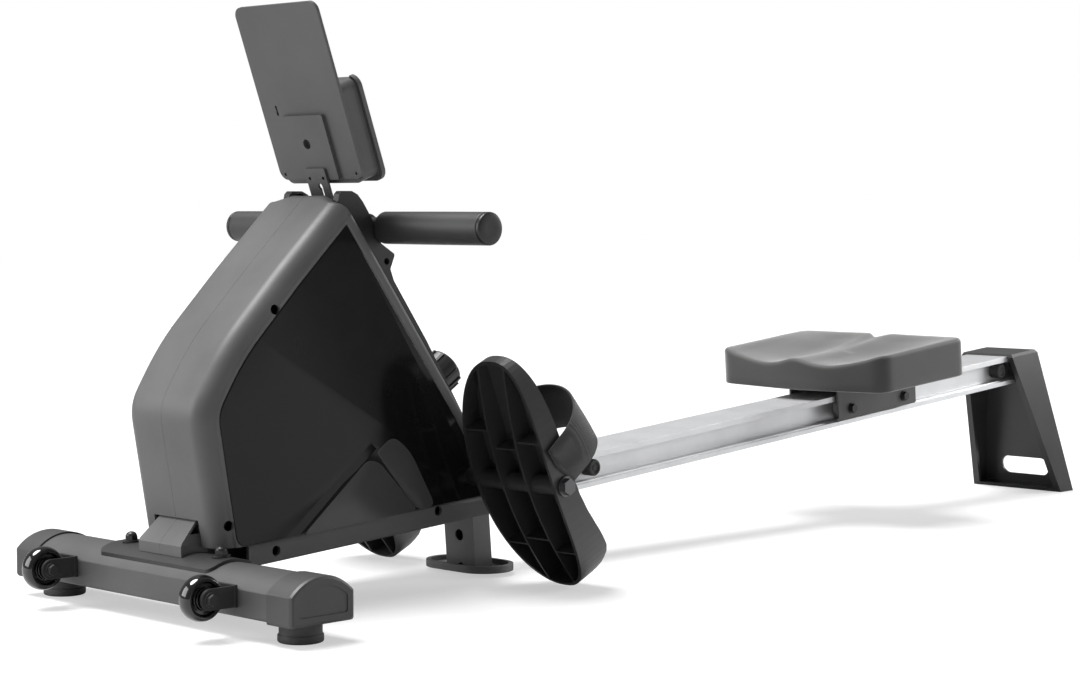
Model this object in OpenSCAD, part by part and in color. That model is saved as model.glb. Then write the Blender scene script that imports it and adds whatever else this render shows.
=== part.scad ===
// Folding magnetic rowing machine: front frame in a casing, sliding seat on an
// aluminium rail, pull handle on a strap, and swinging foot plates.
// +X runs from the console end to the rear foot, +Y is the rower's right, +Z is up.

/* [Overall] */
// Distance from the front stabiliser to the middle of the machine
front_reach = 808; // [700:1:900]
// Tilt of the beam and the rail
rail_tilt = 4.8; // [2:0.1:8]
// Height of the rail's top surface above the stabiliser
rail_height = 85.8; // [70:0.1:110]

/* [Stabiliser] */
// Length of the stabiliser tube
stab_length = 428; // [360:1:480]
// Width of the stabiliser tube
stab_width = 82; // [60:1:100]
// Radius of a front foot
foot_r = 24.7; // [18:0.1:32]
// Radius of a transport wheel
wheel_r = 25; // [20:0.5:35]
// Distance of a transport wheel from the middle
wheel_y = 147; // [100:1:180]

/* [Casing] */
// Half width of the casing
case_half = 72; // [60:1:85]
// Wall thickness of the casing
case_wall = 3; // [2:0.5:4]
// Rounding of the casing's side edges
case_round = 23; // [10:1:30]
// Half width of the rear spine
spine_half = 50; // [40:1:60]

/* [Console] */
// Backward lean of the console plate
console_lean = 19.9; // [0:0.1:35]
// Width of the console plate
console_w = 147; // [120:1:200]
// Height of the console plate
console_h = 212; // [150:1:260]

/* [Handle] */
// Length of the handle
handle_len = 457; // [380:1:520]
// Radius of a foam grip
grip_r = 19; // [14:0.5:22]

/* [Pedals] */
// Length of a foot plate
pedal_len = 304; // [250:1:340]
// Width of a foot plate
pedal_w = 134; // [100:1:150]
// Angle of a foot plate from upright
pedal_lean = 24.6; // [0:0.1:45]

/* [Rail and seat] */
// Half width of the rail's flanges
rail_half = 38.5; // [30:0.5:45]
// Height of the rail section
rail_h = 44.5; // [35:0.5:60]
// Width of the seat
seat_w = 300; // [260:1:360]
// Depth of the seat
seat_d = 204; // [180:1:260]

/* [Drive] */
// Radius of the flywheel
flywheel_r = 104; // [80:1:110]
// Radius of the drive pulley
pulley_r = 62; // [50:1:70]
// Radius of the strap spool
spool_r = 26; // [20:1:34]

/* [Node selection] */
// Name of one node to draw alone, or all

/* [Hidden] */
$fn = 72;
fx = -front_reach;
stab_z0 = 24;
stab_side = 54;
stab_top = 72;
arch_r = (pow(stab_width / 2, 2) + pow(stab_top - stab_side, 2)) / (2 * (stab_top - stab_side));
end_x1 = 256;
axle_u = 388;
axle_z = 132;
pedal_out = 230;
pedal_mid = pedal_out - pedal_w / 2;
pivot_u = 520;
pivot_z = -13;
clamp_z = -35;
beam_half = 25;
beam_lo = -41;
beam_hi = -3;
leg_u = 446;
fly_u = 122;
fly_z = 228;
pul_u = 232;
pul_z = 318;
small_r = 13;
guide_u = 212;
guide_z = 422;
guide_r = 9;
handle_u = 270;
handle_z = 432.6;
seat_u = 1224;
car_u = 1248;
car_half = 94.5;
roller_r = 15.4;
roller_z = -21.2;
roller_dx = 64;
foot_front0 = 1685;
foot_half0 = 82.7;
black = [0.10, 0.10, 0.11];
grey = [0.30, 0.30, 0.31];
steel = [0.62, 0.63, 0.65];
silver = [0.80, 0.81, 0.83];

// ---------- helpers ----------

// Frame whose X follows the rail and whose Z is zero on the rail's top surface
module along_rail() {
  translate([fx, 0, rail_height]) rotate([0, -rail_tilt, 0]) children();
}

// Frame of the console, Z up along its plate and X towards the rower
module at_console() {
  translate([fx + 216.2, 0, 489]) rotate([0, -console_lean, 0]) children();
}

// Frame of a foot plate about its axle, Z along the plate and X out of its tread
module at_pedal() {
  translate([fx + axle_u, 0, axle_z]) rotate([0, -pedal_lean, 0]) children();
}

// Profile drawn in X and Z, filling Y from y0 to y1
module slab(y0, y1) {
  translate([0, y1, 0]) rotate([90, 0, 0]) linear_extrude(y1 - y0) children();
}

// Profile drawn in Y and Z, filling X from x0 to x1
module run(x0, x1) {
  translate([x0, 0, 0]) rotate([90, 0, 90]) linear_extrude(x1 - x0) children();
}

// Rod along Y
module rod(x, z, r, y0, y1) {
  translate([x, y0, z]) rotate([-90, 0, 0]) cylinder(h = y1 - y0, r = r);
}

// Box from its low and high corners
module block(a, b) {
  translate(a) cube(b - a);
}

// Rectangle with rounded corners from its low and high corners
module soft_rect(a, b, r) {
  translate(a + [r, r]) offset(r = r) square(b - a - [2 * r, 2 * r]);
}

// Hexagonal head along Y
module hex_y(x, z, r, y0, y1) {
  translate([x, y0, z]) rotate([-90, 30, 0]) cylinder(h = y1 - y0, r = r, $fn = 6);
}

module mirror_y(on) {
  mirror([0, on ? 1 : 0, 0]) children();
}

// ---------- front stabiliser ----------

// Flat-bottomed section with an arched top
module stab_section(grow) {
  offset(r = 3) offset(delta = -3 + grow) intersection() {
    translate([-stab_width / 2, stab_z0]) square([stab_width, 60]);
    translate([0, stab_top - arch_r]) circle(r = arch_r, $fn = 160);
  }
}

module stabiliser_tube() {
  color(grey) translate([fx, 0, 0]) difference() {
    slab(-stab_length / 2, stab_length / 2) stab_section(0);
    slab(-stab_length, stab_length) stab_section(-2.4);
    for (s = [-1, 1]) {
      translate([0, s * 83, 60]) cylinder(h = 20, r = 4.2);
    }
  }
}

module end_cap(right) {
  mirror_y(!right) color(grey) translate([fx, 0, 0]) {
    difference() {
      hull() {
        slab(stab_length / 2 + 0.2, end_x1 - 5) stab_section(2);
        slab(end_x1 - 5, end_x1 - 1.5) stab_section(1);
        slab(end_x1 - 1.5, end_x1) stab_section(-1.6);
      }
      slab(stab_length / 2 + 3, end_x1 - 4) stab_section(-3);
      slab(end_x1 - 1, end_x1 + 1) stab_section(-8);
    }
    difference() {
      slab(stab_length / 2 - 24, stab_length / 2 + 0.6) stab_section(-2.7);
      slab(stab_length / 2 - 30, stab_length / 2 + 4) stab_section(-5);
    }
  }
}

// Two round rubber feet with stepped rims
module front_feet() {
  color(black) for (s = [-1, 1]) {
    translate([fx, s * 218, 0]) rotate_extrude($fn = 96)
      polygon([[0, 0], [foot_r - 2, 0], [foot_r - 0.6, 0.6], [foot_r, 2], [foot_r, 8],
        [foot_r - 1.5, 9.5], [foot_r - 1.5, 18.5], [foot_r - 3, 21.8], [0, 21.8]]);
  }
}

// Forks that carry the transport wheels, each with its axle bolt
module wheel_brackets() {
  color(black) for (s = [-1, 1]) {
    translate([fx, s * wheel_y, 0]) {
      block([-45, -17, 34.5], [-41.1, 17, 58.5]);
      slab(-16.5, -13) arm_profile();
      slab(13, 16.5) arm_profile();
      rod(-76.5, 46.5, 4, -16, 16);
      rod(-76.5, 46.5, 8, -18.5, -16.2);
      rod(-76.5, 46.5, 8, 16.2, 18.5);
      hex_y(-76.5, 46.5, 6.5, -22.5, -18.4);
      hex_y(-76.5, 46.5, 6.5, 18.4, 22.5);
    }
  }
}

module arm_profile() {
  hull() {
    translate([-76.5, 46.5]) circle(r = 11.5);
    translate([-45, 35]) square([2, 23]);
  }
}

// Transport wheel: hard tyre on a dished hub
module transport_wheel(y) {
  color(black) translate([fx - 76.5, y, 46.5]) rotate([90, 0, 0]) rotate_extrude($fn = 96)
    polygon(concat([[4.15, -9], [12, -9], [13, -6], [17, -6], [18.5, -9.5]],
      [for (a = [-75 : 15 : 75]) [wheel_r - 5 + 5 * cos(a), 10 * sin(a)]],
      [[18.5, 9.5], [17, 6], [13, 6], [12, 9], [4.15, 9]]));
}

// Saddle plate that ties the beam to the stabiliser
module mount_plate() {
  color(black) translate([fx, 0, 0]) difference() {
    intersection() {
      slab(-104, 104) difference() {
        stab_section(3.6);
        stab_section(0.05);
      }
      translate([0, 0, 40]) linear_extrude(60) offset(r = 10) square([44, 188], center = true);
    }
    for (s = [-1, 1]) {
      translate([0, s * 83, 60]) cylinder(h = 30, r = 4.2);
    }
  }
}

// Carriage bolts with washers and dome nuts on the saddle plate
module mount_bolts() {
  color(steel) for (s = [-1, 1]) {
    translate([fx, s * 83, 0]) {
      translate([0, 0, 60]) cylinder(h = 18, r = 4);
      translate([0, 0, 75.7]) cylinder(h = 2, r = 10.5);
      translate([0, 0, 77.6]) cylinder(h = 5, r = 7.5, $fn = 6);
      translate([0, 0, 82.5]) rotate_extrude()
        polygon(concat([[0, 0]], [for (a = [0 : 15 : 90]) [6.4 * cos(a), 5 * sin(a)]]));
      translate([0, 0, 65.6]) cylinder(h = 2.8, r = 9);
    }
  }
}

// Half of the small cover at the foot of the casing
module foot_cover(right) {
  s = right ? 1 : -1;
  color(grey) translate([fx, 0, 0]) difference() {
    intersection() {
      slab(right ? 0.15 : -39, right ? 39 : -0.15) cover_profile(0);
      run(-40, 60) polygon([[-39, 60], [39, 60], [39, 85], [30, 125], [-30, 125], [-39, 85]]);
    }
    slab(-36.5, 36.5) cover_profile(-2.6);
    slab(-37, 37) translate([12, 60]) square([40, 60]);
    slab(-50, 50) stab_section(4);
  }
}

module cover_profile(grow) {
  offset(delta = grow) polygon([[-21, 70], [-21.5, 84], [-19.5, 87.5], [4, 110.5],
    [11.5, 110.5], [15, 92], [15, 70]]);
}

// ---------- frame ----------

// Beam from the saddle plate to the hinge, with the housing of the pedal axle
module main_beam() {
  color(black) difference() {
    union() {
      along_rail() difference() {
        slab(-beam_half, beam_half) translate([40, beam_lo]) square([456, beam_hi - beam_lo]);
        slab(-beam_half + 2.5, beam_half - 2.5) translate([62, beam_lo + 2.5])
          square([450, beam_hi - beam_lo - 5]);
      }
      translate([fx, 0, 0]) difference() {
        slab(-24, 24) polygon([[-12, 70], [-12, 84], [60, 89], [60, 58], [38, 58]]);
        slab(-60, 60) stab_section(3.7);
        slab(-60, 60) translate([44, 40]) square([60, 46]);
      }
      translate([fx, 0, 0]) {
        rod(axle_u, axle_z, 13.5, -46, 46);
        slab(-18, 18) polygon([[374, 114], [402, 116.4], [401.5, 132], [374.5, 132]]);
      }
    }
    translate([fx, 0, 0]) rod(axle_u, axle_z, 8.25, -60, 60);
  }
}

// Two upright plates that carry the drive, joined by cross bars and a foot on the beam
module drive_bracket() {
  color(black) translate([fx, 0, 0]) difference() {
    union() {
      for (s = [-1, 1]) slab(s * 54 - 2, s * 54 + 2) bracket_outline();
      rod(200, 106, 6, -53, 53);
      rod(120, 101, 6, -53, 53);
      slab(-53, 53) polygon([[106, 94.2], [232, 104.8], [232, 108.8], [106, 98.2]]);
      rod(196, 448, 4.5, -53, 53);
    }
    slab(-60, 60) bracket_holes();
  }
}

module bracket_outline() {
  hull() {
    translate([fly_u, fly_z]) circle(r = 22);
    translate([pul_u, pul_z]) circle(r = 22);
    translate([196, 446]) circle(r = 8);
    translate([guide_u, guide_z]) circle(r = 8);
    translate([82, 121.5]) circle(r = 11);
    translate([104, 93]) square([126, 8]);
  }
}

module bracket_holes() {
  translate([fly_u, fly_z]) circle(r = 6.05);
  translate([pul_u, pul_z]) circle(r = 7.05);
  translate([guide_u, guide_z]) circle(r = 3.05);
  translate([82, 121.5]) circle(r = 4.1);
  translate([176, 190]) circle(r = 26);
  translate([178, 258]) circle(r = 17);
}

// ---------- drive ----------

module on_flywheel() {
  translate([fx + fly_u, 0, fly_z]) rotate([-90, 0, 0]) children();
}

module on_spool() {
  translate([fx + pul_u, 0, pul_z]) rotate([-90, 0, 0]) children();
}

module flywheel() {
  color(steel) on_flywheel() difference() {
    rotate_extrude($fn = 120) polygon([[6.1, 20], [19, 20], [20, 21], [20, 28], [82, 28], [84, 26],
      [84, 23], [85, 22], [flywheel_r - 1, 22], [flywheel_r, 23], [flywheel_r, 41],
      [flywheel_r - 1, 42], [85, 42], [84, 41], [84, 38], [82, 36], [20, 36], [20, 43],
      [19, 44], [6.1, 44]]);
    for (a = [0 : 60 : 300]) rotate([0, 0, a]) translate([52, 0, 10]) cylinder(h = 40, r = 12);
  }
}

module drive_shafts() {
  color(steel) translate([fx, 0, 0]) {
    rod(fly_u, fly_z, 6, -60, 60);
    rod(pul_u, pul_z, 7, -60, 60);
    rod(guide_u, guide_z, 3, -58, 58);
    rod(82, 121.5, 4, -58, 58);
  }
}

// Belt pulley with the one-way sleeve that drives the flywheel
module freewheel_pulley() {
  color(grey) on_flywheel() rotate_extrude() polygon([[6.1, -46], [small_r + 3, -46],
    [small_r + 3, -44.6], [small_r, -44.4], [small_r, -33.6], [small_r + 3, -33.4],
    [small_r + 3, -32], [10, -32], [10, 19.5], [6.1, 19.5]]);
}

module drive_belt() {
  color(black) translate([fx, 0, 0]) slab(-44, -34) difference() {
    hull() {
      translate([fly_u, fly_z]) circle(r = small_r + 2.2);
      translate([pul_u, pul_z]) circle(r = pulley_r + 2.2, $fn = 120);
    }
    hull() {
      translate([fly_u, fly_z]) circle(r = small_r + 0.1);
      translate([pul_u, pul_z]) circle(r = pulley_r + 0.1, $fn = 120);
    }
  }
}

// Drive pulley, strap spool and spring case turning together
module spool_pulley() {
  color(grey) on_spool() difference() {
    rotate_extrude($fn = 120) polygon([[7.1, -46], [16, -46], [16, -42], [pulley_r - 8, -42],
      [pulley_r - 5, -46], [pulley_r + 3, -46], [pulley_r + 3, -44.6], [pulley_r, -44.4],
      [pulley_r, -33.6], [pulley_r + 3, -33.4], [pulley_r + 3, -32], [pulley_r - 5, -32],
      [pulley_r - 8, -36], [15, -36], [15, -18], [44, -18], [45, -17], [45, -15.6],
      [spool_r, -15.2], [spool_r, 15.2], [45, 15.6], [45, 17], [44, 18], [33, 18], [33, 31],
      [31, 33], [7.1, 33]]);
    for (a = [0 : 60 : 300]) rotate([0, 0, a]) translate([36, 0, -50]) cylinder(h = 20, r = 9);
  }
}

module guide_roller() {
  color(grey) translate([fx + guide_u, 0, guide_z]) rotate([-90, 0, 0]) rotate_extrude()
    polygon([[3.1, -19], [12, -19], [12, -16.5], [guide_r, -16], [guide_r, 16], [12, 16.5],
      [12, 19], [3.1, 19]]);
}

// Curved arm whose magnets close on the flywheel's rim
module magnet_arm() {
  color(steel) translate([fx, 0, 0]) {
    difference() {
      union() {
        slab(24, 40) ring_sector(fly_u, fly_z, flywheel_r + 9, flywheel_r + 13, 163, 248);
        slab(24, 40) hull() {
          translate([82, 121.5]) circle(r = 8);
          translate([77, 114]) circle(r = 3);
        }
      }
      rod(82, 121.5, 4.1, 0, 60);
    }
    for (a = [172, 190, 208]) {
      slab(26, 38) ring_sector(fly_u, fly_z, flywheel_r + 8.2, flywheel_r + 10, a - 6, a + 6);
    }
  }
}

module ring_sector(u, z, r0, r1, a0, a1) {
  steps = 24;
  translate([u, z]) polygon(concat(
    [for (i = [0 : steps]) r0 * [cos(a0 + (a1 - a0) * i / steps), sin(a0 + (a1 - a0) * i / steps)]],
    [for (i = [steps : -1 : 0]) r1 * [cos(a0 + (a1 - a0) * i / steps), sin(a0 + (a1 - a0) * i / steps)]]));
}

// Webbing wound on the spool, over the guide roller and out to the handle
module pull_strap() {
  r_out = spool_r + 7;
  reach = norm([guide_u - pul_u, guide_z - pul_z]);
  ta = atan2(guide_z - pul_z, guide_u - pul_u) + acos((r_out - guide_r - 1.3) / reach);
  color(black) translate([fx, 0, 0]) slab(-13.5, 13.5) {
    translate([pul_u, pul_z]) difference() {
      circle(r = r_out);
      circle(r = spool_r + 0.2);
    }
    polygon(concat(
      [[pul_u, pul_z] + (r_out - 0.05) * [cos(ta), sin(ta)]],
      [for (i = [0 : 12]) [guide_u, guide_z] + (guide_r + 1.3) * [cos(ta + (90 - ta) * i / 12),
        sin(ta + (90 - ta) * i / 12)]],
      [[251.6, guide_z + guide_r + 1.3], [251.6, guide_z + guide_r + 0.1]],
      [for (i = [12 : -1 : 0]) [guide_u, guide_z] + (guide_r + 0.1) * [cos(ta + (90 - ta) * i / 12),
        sin(ta + (90 - ta) * i / 12)]],
      [[pul_u, pul_z] + (r_out - 3.5) * [cos(ta), sin(ta)]]));
  }
}

// ---------- casing ----------

// Corners of the casing seen from its side, and how much of the front's rounding each
// edge from a corner to the next one takes
CASE = [[11, 54], [-20.5, 236], [22, 305], [104, 388], [190, 470], [207, 470], [374, 211],
  [418, 143], [430, 98], [424, 82]];
CASE_SHARE = [1, 1, 1, 1, 0.5, 0, 0, 0, 0, 0];

// Point and direction of an edge moved inwards
function case_edge(i, move) =
  let (a = CASE[i], d = (CASE[(i + 1) % len(CASE)] - a) / norm(CASE[(i + 1) % len(CASE)] - a))
  [a + [d[1], -d[0]] * move, d];

function cross2(a, b) = a[0] * b[1] - a[1] * b[0];

function meet(l, m) = l[0] + l[1] * cross2(m[0] - l[0], m[1]) / cross2(l[1], m[1]);

// Outline moved in by inset all round, and by step where the front is rounded
module case_step(inset, step) {
  n = len(CASE);
  offset(r = 12, $fn = 24) offset(delta = -12) polygon([for (i = [0 : n - 1])
    meet(case_edge((i + n - 1) % n, inset + step * CASE_SHARE[(i + n - 1) % n]),
      case_edge(i, inset + step * CASE_SHARE[i]))]);
}

// Half body with a rounded front, from the seam at Y 0 out to the flat side
module case_body(inset) {
  hull() {
    for (a = [0 : 22.5 : 90]) {
      slab(-(case_half - case_round - inset) - case_round * sin(a), 0)
        case_step(inset, case_round * (1 - cos(a)));
    }
  }
}

// Outline of the glossy side panel
module panel_outline(grow) {
  offset(delta = grow) offset(r = 12, $fn = 24) offset(delta = -12) polygon(PANEL);
}

// Rear spine's side outline
module spine_outline(grow) {
  offset(delta = grow) polygon([[198, 463], [200, 472], [204, 475.5], [219, 475.5], [228, 471.5],
    [236, 463], [250, 443], [256, 428], [264.5, 414], [284.3, 402], [285, 399], [278.5, 384],
    [284, 370], [335.6, 297.8], [395, 206], [433, 137], [440, 108], [415, 108], [408, 150]]);
}

// Corners of the glossy side panel
PANEL = [[32.3, 79.8], [6.2, 230.9], [42.1, 289.2], [121.8, 369.9], [190, 434.5],
  [360, 198], [406, 137.7], [414.5, 105.7]];

// Positions of the closing screws and how far their bosses reach in
CASE_SCREWS = [[88, 342.5, -0.2, -68.8], [21, 106, -30, -64], [86, 72, -30, -69.5],
  [334, 94, -30, -69.5]];

module casing_half() {
  difference() {
    union() {
      difference() {
        case_body(0);
        case_body(case_wall);
      }
      for (p = CASE_SCREWS) rod(p[0], p[1], 8, p[3], p[2]);
    }
    block([-60, -0.15, 0], [500, 60, 600]);
    block([-60, -100, 20], [47, 10, 81]);
    slab(-39.5, 10) translate([-40, 20]) square([55.5, 91]);
    slab(-beam_half - 1.7, 10) polygon([[30, 30], [450, 40], [450, 125], [30, 89]]);
    slab(-spine_half - 0.4, 10) spine_outline(0.4);
    slab(-19, 10) translate([190, 440]) square([60, 60]);
    slab(-case_half - 1, -case_half + 1.5) panel_outline(0);
    slab(-48, 10) translate([axle_u, axle_z]) square([60, 30], center = true);
    rod(axle_u, axle_z, 14, -90, 10);
    for (p = CASE_SCREWS) {
      rod(p[0], p[1], 4.6, -90, -56);
      rod(p[0], p[1], 2.2, -90, 1);
    }
  }
}

module casing(right) {
  color(grey) translate([fx, 0, 0]) mirror_y(right) casing_half();
}

// Glossy flat panel let into the side of the casing
module side_panel(right) {
  color(black) translate([fx, 0, 0]) mirror_y(right) difference() {
    slab(-case_half + 0.1, -case_half + 1.4) panel_outline(-0.4);
    rod(axle_u, axle_z, 14.5, -90, 10);
  }
}

// Narrow back of the casing, with the cradle that holds the handle
module rear_spine() {
  color(grey) translate([fx, 0, 0]) difference() {
    slab(-spine_half, spine_half) spine_outline(0);
    slab(-spine_half + 3, spine_half - 3) difference() {
      spine_outline(-3);
      translate([263, 379]) square([33, 31]);
    }
    slab(-spine_half + 3, spine_half - 3) polygon([[190, 452], [203, 463.5], [412, 153],
      [420, 122], [420, 100], [395, 100], [395, 140], [190, 440]]);
    slab(-24, 24) translate([235, 411.5]) square([60, 44]);
    slab(-40, 40) translate([190, 464]) square([44, 30]);
    slab(-beam_half - 4.6, beam_half + 4.6) translate([380, 60]) square([70, 62]);
    translate([handle_u, 0, handle_z]) rotate([-90, 0, 0])
      cylinder(h = 200, r = 13.2, center = true);
    at_knob_local() cylinder(h = 40, r = 5.3, center = true);
    for (s = [-1, 1]) rod(272.5, 393, 4, s * 48 - 6, s * 48 + 6);
  }
  color(grey) translate([fx, 0, 0]) slab(-spine_half + 2, spine_half - 2)
    polygon([[200.4, 461.6], [236, 461.6], [237.6, 459.3], [201.6, 459.3]]);
}

module at_knob_local() {
  translate([375.6, 0, 236]) rotate([0, 57.1, 0]) children();
}

// Screws that close the casing, deep in their holes
module casing_screws() {
  color(black) translate([fx, 0, 0]) for (right = [0, 1]) mirror_y(right == 1) {
    for (p = CASE_SCREWS) {
      rod(p[0], p[1], 4.2, -59, -56.1);
      rod(p[0], p[1], 1.9, -56.2, -32);
    }
  }
}

// Ribbed resistance knob on its shaft
module tension_knob() {
  color(black) translate([fx, 0, 0]) at_knob_local() {
    translate([0, 0, -14]) cylinder(h = 18, r = 5);
    translate([0, 0, -16]) cylinder(h = 5, r = 9);
    translate([0, 0, 1]) cylinder(h = 5, r = 24);
    translate([0, 0, 5]) linear_extrude(36) union() {
      circle(r = 25, $fn = 96);
      for (a = [0 : 30 : 330]) rotate(a) translate([0, -1.5]) square([27, 3]);
    }
    translate([0, 0, 41]) rotate_extrude($fn = 96) polygon([[0, 0], [25, 0], [24.2, 2.4],
      [22.5, 3.6], [16, 4], [15, 3.2], [0, 3.2]]);
    translate([0, 0, 43]) linear_extrude(2.6) translate([8, -1.4]) square([12, 2.8]);
  }
}

// ---------- console ----------

module console_bracket() {
  color(black) at_console() difference() {
    union() {
      run(-7.6, -4.6) soft_rect([-18, -26], [18, 16], 3);
      run(-7.6, 8) translate([-15, -26]) square([30, 3]);
    }
    run(-10, 0) union() {
      translate([-3, -6]) circle(r = 3.6);
      translate([-6.6, -18]) square([5, 12]);
    }
    for (s = [-1, 1]) translate([-10, s * 12, 4]) rotate([0, 90, 0]) cylinder(h = 8, r = 2.2);
  }
}

// Tall back plate that a phone or tablet leans on, with its raised mount
module console_back() {
  color(grey) at_console() difference() {
    union() {
      run(0, 4) soft_rect([-console_w / 2, 0], [console_w / 2, console_h], 12);
      run(-4.4, 0.5) soft_rect([-36, 1], [36, 80], 3);
    }
    translate([-6, 4, 45]) rotate([0, 90, 0]) cylinder(h = 8, r = 6);
    run(-1, 2.5) translate([52, 86]) difference() {
      circle(r = 7);
      circle(r = 4.6);
      translate([-3.5, -10]) square([20, 20]);
    }
    run(-1, 2.5) translate([45, 80]) square([2.6, 12]);
    for (s = [-1, 1]) {
      translate([-1, s * 64, 7]) rotate([0, 90, 0]) cylinder(h = 3, r = 2);
      translate([-5, s * 12, 4]) rotate([0, 90, 0]) cylinder(h = 6, r = 2.2);
    }
  }
}

// Display housing with a bezel, a shelf for a phone, and its front openings
module console_body() {
  color(grey) at_console() difference() {
    union() {
      run(4.1, 30) soft_rect([-69, -6], [69, 113], 12);
      run(31.2, 37) soft_rect([-72, -13], [72, 115], 14);
      run(29, 32) soft_rect([-68, -9], [68, 112], 11);
    }
    run(7, 34.5) soft_rect([-66, -3], [66, 110], 9);
    run(34, 40) soft_rect([-50, 40], [50, 100], 3);
    run(3, 40) soft_rect([-60, 112], [60, 120], 1);
    for (s = [-1, 1]) translate([30, s * 22, 21]) rotate([0, 90, 0]) cylinder(h = 12, r = 9.4);
  }
}

module console_screen() {
  color([0.45, 0.50, 0.46]) at_console() {
    run(34.1, 36) soft_rect([-49.7, 40.3], [49.7, 99.7], 2.6);
    run(32, 34.2) soft_rect([-48, 42], [48, 98], 2);
  }
}

module console_button(y) {
  color(black) at_console() translate([32.2, y, 21]) rotate([0, 90, 0])
    rotate_extrude() polygon([[0, 0], [11, 0], [11, 1.6], [9, 1.6], [9, 5.6], [8, 6.6], [0, 6.9]]);
}

// ---------- handle ----------

module handle_bar() {
  color(black) translate([fx, 0, 0]) difference() {
    rod(handle_u, handle_z, 12.5, -handle_len / 2 + 6, handle_len / 2 - 6);
    rod(handle_u, handle_z, 10.5, -handle_len, handle_len);
  }
}

// Foam grips with rounded end caps
module grips() {
  color(black) for (right = [0, 1]) translate([fx + handle_u, 0, handle_z]) mirror_y(right == 1)
    rotate([90, 0, 0]) rotate_extrude($fn = 96) polygon([[12.6, 51.4],
      [grip_r - 0.5, 51.4], [grip_r, 52], [grip_r, handle_len / 2 - 6],
      [grip_r - 0.5, handle_len / 2 - 5.6], [grip_r - 0.5, handle_len / 2 - 5.2],
      [grip_r, handle_len / 2 - 4.8], [grip_r, handle_len / 2 - 2.5],
      [grip_r - 0.7, handle_len / 2 - 0.7], [grip_r - 2.5, handle_len / 2],
      [0, handle_len / 2], [0, handle_len / 2 - 5], [12.6, handle_len / 2 - 5]]);
}

// Clamp that holds the strap's end to the middle of the bar
module strap_clamp() {
  color(black) translate([fx, 0, 0]) difference() {
    union() {
      rod(handle_u, handle_z, 16.5, -21, 21);
      slab(-16, 16) translate([252, 428]) square([18, 11]);
    }
    rod(handle_u, handle_z, 12.6, -60, 60);
    block([240, -14.2, 432.7], [255.5, 14.2, 434.7]);
  }
}

// ---------- pedals ----------

module pedal_axle() {
  color(steel) translate([fx, 0, 0]) {
    rod(axle_u, axle_z, 8, -pedal_out - 3, pedal_out + 3);
    for (s = [-1, 1]) {
      difference() {
        rod(axle_u, axle_z, 11, s > 0 ? 46.5 : -95, s > 0 ? 95 : -46.5);
        rod(axle_u, axle_z, 7.9, -300, 300);
      }
      rod(axle_u, axle_z, 12, s > 0 ? pedal_out + 0.6 : -pedal_out - 2.6,
        s > 0 ? pedal_out + 2.6 : -pedal_out - 0.6);
      hex_y(axle_u, axle_z, 10, s > 0 ? pedal_out + 2.5 : -pedal_out - 9,
        s > 0 ? pedal_out + 9 : -pedal_out - 2.5);
    }
  }
}

// Side profile between the tread and the bowed underside
module pedal_profile(shift, deep) {
  tread = [[24, 156], [23, 120], [20.5, 85], [18.5, 56], [18, 30], [18, 0], [19, -20], [24, -45],
    [32, -68], [41, -90], [48, -108], [49, -118], [44, -131], [33, -141], [18, -150]];
  under = [for (t = [-1 : 0.0625 : 1]) [8.9 - deep * (1 - t * t), 3.8 + t * 152]];
  polygon(concat([for (p = tread) p - [shift, 0]], under));
}

// Foot-shaped outline of the tread
module pedal_outline(inset) {
  b = pedal_w / 2 - inset;
  l = pedal_len / 2 - inset;
  translate([0, 3.8]) polygon([for (a = [0 : 5 : 355])
    [b * sign(cos(a)) * pow(abs(cos(a)), 0.83), l * sign(sin(a)) * pow(abs(sin(a)), 0.83)]]);
}

module pedal_tread(side) {
  at_pedal() translate([0, side * pedal_mid, 0]) difference() {
    intersection() {
      slab(-80, 80) pedal_profile(0, 24.5);
      run(-60, 80) pedal_outline(0);
    }
    difference() {
      intersection() {
        slab(-80, 80) pedal_profile(4, 60);
        run(-60, 80) pedal_outline(4);
      }
      for (y = [-21, 21]) block([-60, y - 1.5, -200], [80, y + 1.5, 200]);
      for (p = [[-1, 60], [-1, -90], [1, 72], [1, -84]]) {
        block([-10, p[0] > 0 ? 21 : -80, p[1] - 1.2], [80, p[0] > 0 ? 80 : -21, p[1] + 1.2]);
      }
      for (z = [48, -74]) block([-8, -21, z - 1.2], [80, 21, z + 1.2]);
      rod(0, 0, 11.5, -80, 80);
    }
    rod(0, 0, 8.15, -90, 90);
  }
}

module pedal(right) {
  color(black) pedal_tread(right ? 1 : -1);
}

// Wide webbing loop over one foot plate
module foot_strap(side) {
  w = pedal_w / 2 + 0.6;
  color(black) translate([fx + axle_u, 0, axle_z]) rotate([0, -pedal_lean - 14, 0])
    translate([0, side * pedal_mid, 0]) difference() {
      translate([0, 0, -8]) linear_extrude(64) difference() {
        strap_arch(w + 2.4, 109);
        strap_arch(w, 106.6);
      }
      rod(0, 0, 12.8, -90, 90);
    }
}

module strap_arch(w, top) {
  polygon(concat([[-4, w], [-4, -w]],
    [for (a = [-90 : 6 : 90]) [38 + (top - 38) * cos(a), w * sin(a)]]));
}

// ---------- middle of the frame ----------

module middle_leg() {
  color(black) difference() {
    along_rail() difference() {
      slab(-26, 26) translate([leg_u - 14.5, -118]) offset(r = 3) offset(delta = -3)
        square([29, 118 + beam_lo - 0.1]);
      translate([leg_u - 12.5, -24, -130]) cube([25, 48, 130 + beam_lo - 4]);
    }
    translate([fx + 400, -40, -20]) cube([100, 80, 28.1]);
    translate([fx + 400, 0, 48]) rotate([0, 90, 0]) cylinder(h = 48, r = 7);
    translate([fx + 400, 0, 8]) rotate([0, 90, 0]) cylinder(h = 48, r = 5);
  }
}

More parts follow.
